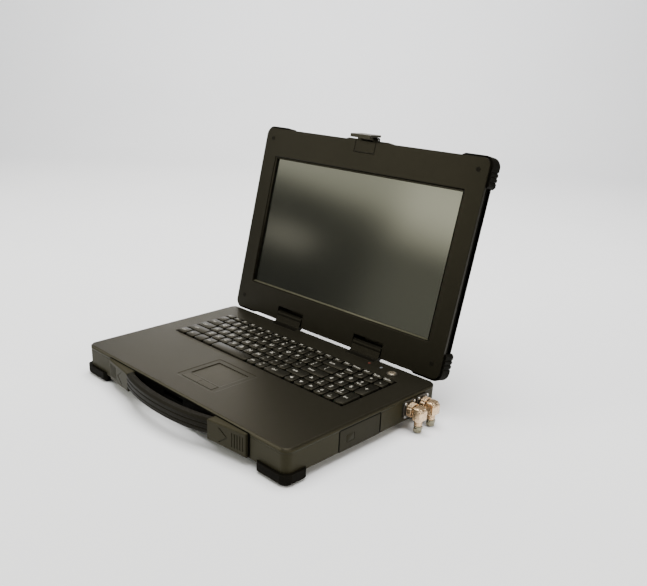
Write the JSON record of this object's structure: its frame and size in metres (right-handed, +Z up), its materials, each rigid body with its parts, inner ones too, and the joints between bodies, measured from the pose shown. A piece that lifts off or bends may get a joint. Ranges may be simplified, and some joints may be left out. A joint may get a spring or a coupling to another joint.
{
  "type": "rugged laptop computer",
  "caption": "Rugged clamshell laptop with a front carrying handle, rubber corner guards, a swing latch, a keyboard with number pad, a touchpad, a drive bay and right-angle plugs",
  "frame": {"origin": "middle of the base housing's flat underside, between the rubber feet, which reach 10 mm below it", "axes": "+X to the right of a person at the keyboard, +Y towards the hinges, away from the handle, +Z up"},
  "size_m": [0.4328, 0.3804, 0.332],
  "materials": {
    "shell_metal": "matte",
    "deck_metal": "matte",
    "handle_plastic": "matte",
    "guard_rubber": "matte",
    "key_plastic": "satin",
    "plate_steel": "matte",
    "pad_plastic": "matte",
    "button_metal": "satin",
    "lens_plastic": "gloss",
    "hinge_metal": "matte",
    "latch_metal": "satin",
    "pin_steel": "satin",
    "screen_glass": "gloss",
    "screen_panel": "satin",
    "caddy_metal": "matte",
    "drive_metal": "satin",
    "socket_metal": "satin",
    "plug_metal": "satin",
    "board_laminate": "satin",
    "spreader_metal": "satin",
    "battery_plastic": "matte"
  },
  "bodies": {
    "base": {"base_housing": "shell_metal", "top_deck": "deck_metal", "keyboard_plate": "plate_steel", "touchpad": "pad_plastic", "power_button_ring": "button_metal", "indicator_lenses": "lens_plastic", "handle_grip": "handle_plastic", "handle_mount_left": "handle_plastic", "handle_mount_right": "handle_plastic", "foot_front_left": "guard_rubber", "foot_front_right": "guard_rubber", "foot_rear_left": "guard_rubber", "foot_rear_right": "guard_rubber", "hinge_post_left": "hinge_metal", "hinge_post_right": "hinge_metal", "latch_keeper": "latch_metal", "main_board": "board_laminate", "heat_spreader": "spreader_metal", "battery_pack": "battery_plastic", "receptacle_front": "socket_metal", "receptacle_rear": "socket_metal", "plug_elbow_front": "plug_metal", "plug_elbow_rear": "plug_metal", "cable_clamp_front": "plug_metal", "cable_clamp_rear": "plug_metal"},
    "lid": {"lid_back_cover": "shell_metal", "lid_bezel": "deck_metal", "display_panel": "screen_panel", "display_glass": "screen_glass", "hinge_bracket_left": "hinge_metal", "hinge_bracket_right": "hinge_metal", "hinge_pins": "pin_steel", "lid_guard_top_left": "guard_rubber", "lid_guard_top_right": "guard_rubber", "lid_guard_bottom_left": "guard_rubber", "lid_guard_bottom_right": "guard_rubber", "latch_body": "latch_metal", "latch_pin": "pin_steel"},
    "latch": {"latch_hook": "latch_metal"},
    "keys_bottom": {"bottom_row_keys": "key_plastic"},
    "keys_shift": {"shift_row_keys": "key_plastic"},
    "keys_caps": {"caps_row_keys": "key_plastic"},
    "keys_tab": {"tab_row_keys": "key_plastic"},
    "keys_number": {"number_row_keys": "key_plastic"},
    "keys_function": {"function_row_keys": "key_plastic"},
    "key_space": {"space_bar": "key_plastic"},
    "key_enter": {"numpad_enter_key": "key_plastic"},
    "key_plus": {"numpad_plus_key": "key_plastic"},
    "pad_button_left": {"touchpad_button_left": "pad_plastic"},
    "pad_button_right": {"touchpad_button_right": "pad_plastic"},
    "power_key": {"power_button": "button_metal"},
    "drive": {"drive_caddy": "caddy_metal", "drive_unit": "drive_metal"},
    "ring_front": {"coupling_ring_front": "plug_metal"},
    "ring_rear": {"coupling_ring_rear": "plug_metal"}
  },
  "joints": [
    {"name": "lid_hinge", "type": "hinge", "parent": "base", "child": "lid", "pos_m": [0, 0.143, 0.044], "axis": [1, 0, 0], "range_deg": [-31.5, 103.5]},
    {"name": "latch_pivot", "type": "hinge", "parent": "lid", "child": "latch", "pos_m": [0, 0.20692, 0.31455], "axis": [1, 0, 0], "range_deg": [-25, 8]},
    {"name": "bottom_row_press", "type": "slide", "parent": "base", "child": "keys_bottom", "axis": [0, 0, -1], "range_m": [0, 0.002], "stiffness_N_per_m": 900, "springref_m": -0.001},
    {"name": "shift_row_press", "type": "slide", "parent": "base", "child": "keys_shift", "axis": [0, 0, -1], "range_m": [0, 0.002], "stiffness_N_per_m": 900, "springref_m": -0.001},
    {"name": "caps_row_press", "type": "slide", "parent": "base", "child": "keys_caps", "axis": [0, 0, -1], "range_m": [0, 0.002], "stiffness_N_per_m": 900, "springref_m": -0.001},
    {"name": "tab_row_press", "type": "slide", "parent": "base", "child": "keys_tab", "axis": [0, 0, -1], "range_m": [0, 0.002], "stiffness_N_per_m": 900, "springref_m": -0.001},
    {"name": "number_row_press", "type": "slide", "parent": "base", "child": "keys_number", "axis": [0, 0, -1], "range_m": [0, 0.002], "stiffness_N_per_m": 900, "springref_m": -0.001},
    {"name": "function_row_press", "type": "slide", "parent": "base", "child": "keys_function", "axis": [0, 0, -1], "range_m": [0, 0.002], "stiffness_N_per_m": 700, "springref_m": -0.001},
    {"name": "space_press", "type": "slide", "parent": "base", "child": "key_space", "axis": [0, 0, -1], "range_m": [0, 0.002], "stiffness_N_per_m": 300, "springref_m": -0.001},
    {"name": "enter_press", "type": "slide", "parent": "base", "child": "key_enter", "axis": [0, 0, -1], "range_m": [0, 0.002], "stiffness_N_per_m": 300, "springref_m": -0.001},
    {"name": "plus_press", "type": "slide", "parent": "base", "child": "key_plus", "axis": [0, 0, -1], "range_m": [0, 0.002], "stiffness_N_per_m": 300, "springref_m": -0.001},
    {"name": "left_button_press", "type": "slide", "parent": "base", "child": "pad_button_left", "axis": [0, 0, -1], "range_m": [0, 0.0008], "stiffness_N_per_m": 1200, "springref_m": -0.0005},
    {"name": "right_button_press", "type": "slide", "parent": "base", "child": "pad_button_right", "axis": [0, 0, -1], "range_m": [0, 0.0008], "stiffness_N_per_m": 1200, "springref_m": -0.0005},
    {"name": "power_press", "type": "slide", "parent": "base", "child": "power_key", "axis": [0, 0, -1], "range_m": [0, 0.0012], "stiffness_N_per_m": 1200, "springref_m": -0.0005},
    {"name": "drive_slide", "type": "slide", "parent": "base", "child": "drive", "axis": [1, 0, 0], "range_m": [0, 0.11]},
    {"name": "front_ring_turn", "type": "hinge", "parent": "base", "child": "ring_front", "pos_m": [0.21, 0.076, 0.0165], "axis": [1, 0, 0], "continuous": true},
    {"name": "rear_ring_turn", "type": "hinge", "parent": "base", "child": "ring_rear", "pos_m": [0.21, 0.1025, 0.0165], "axis": [1, 0, 0], "continuous": true}
  ]
}
